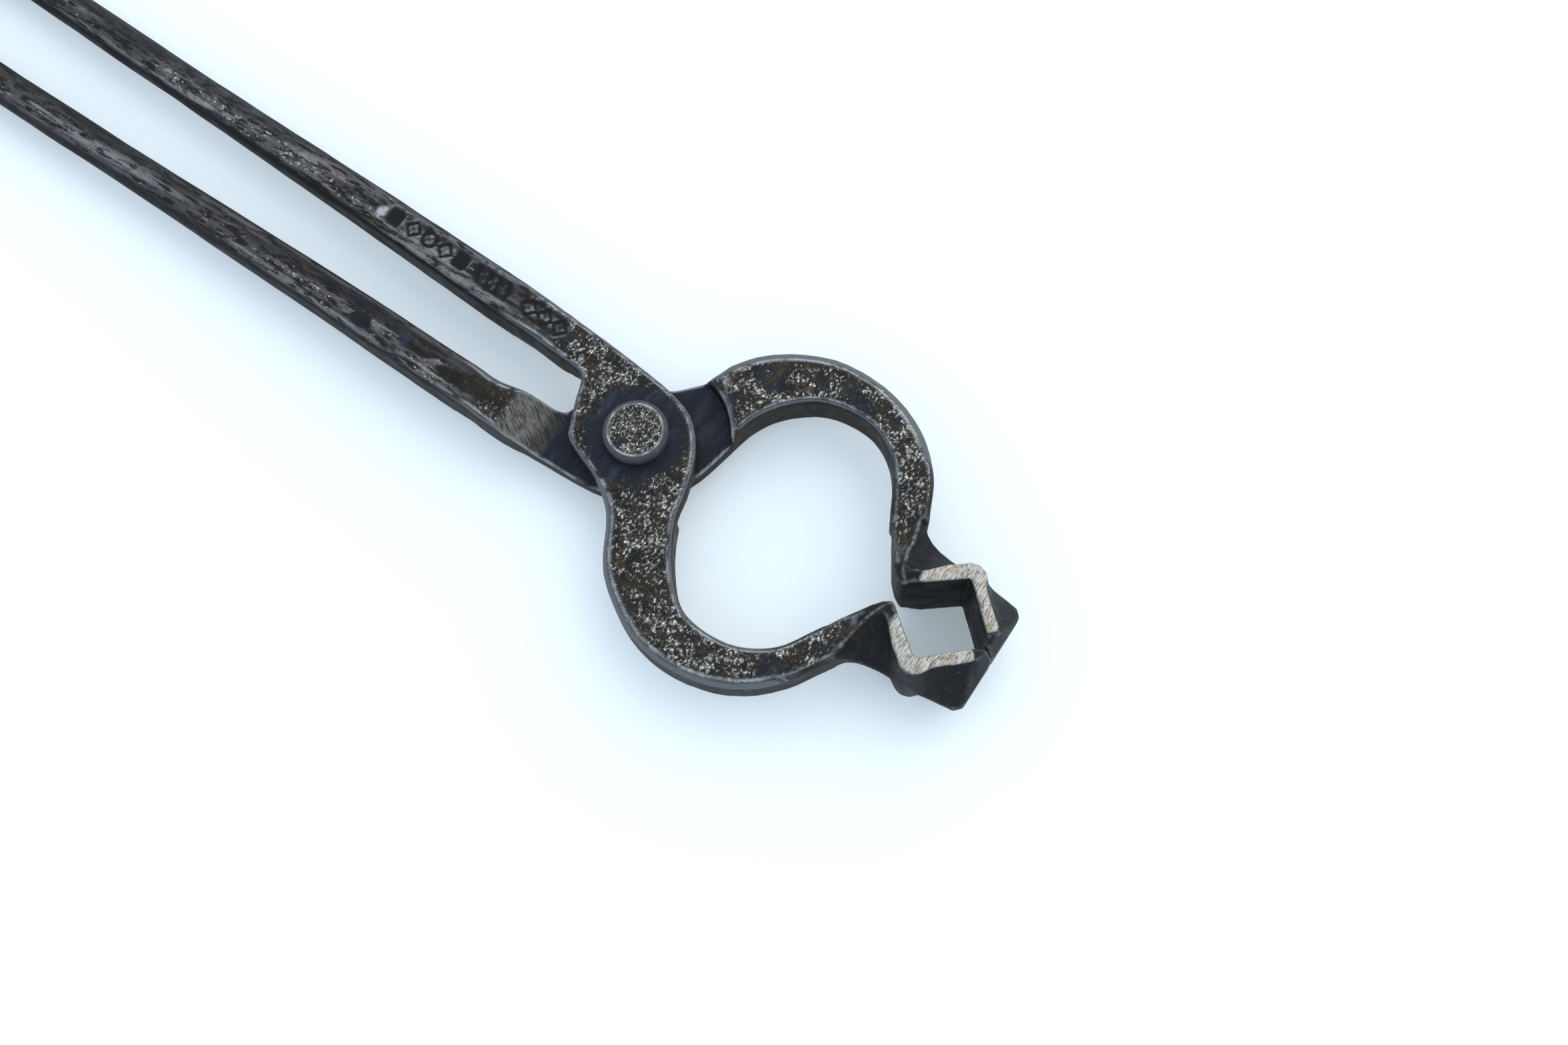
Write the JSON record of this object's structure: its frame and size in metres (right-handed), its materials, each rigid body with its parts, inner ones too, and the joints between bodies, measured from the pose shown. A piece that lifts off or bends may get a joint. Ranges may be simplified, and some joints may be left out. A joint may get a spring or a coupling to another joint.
{
  "type": "blacksmith tongs",
  "caption": "Forged blacksmith's bow tongs: long reins cross at a riveted boss and open out into round bows that end in tall V jaws for square or round bar.",
  "frame": {"origin": "centre of the lower rivet head's flat face, on the hinge axis", "axes": "+X along the tongs from the reins towards the jaws; +Z along the rivet towards the upper head, the side that carries the punch marks; +Y across the tongs towards the plain half's jaw"},
  "size_m": [0.5086, 0.0973, 0.028],
  "materials": {
    "forged_steel": "dark forge scale worn to bare metal on pits and edges, with a little rust; jaw rims ground bright",
    "rivet_steel": "forge scale with a worn, pitted flat and a bright edge"
  },
  "bodies": {
    "stamped": {"stamped_half": "forged_steel", "rivet": "rivet_steel"},
    "plain": {"plain_half": "forged_steel"}
  },
  "joints": [
    {"name": "jaw_hinge", "type": "hinge", "parent": "stamped", "child": "plain", "pos_m": [0, 0, 0.011], "axis": [0, 0, 1], "range_deg": [0, 55]}
  ]
}
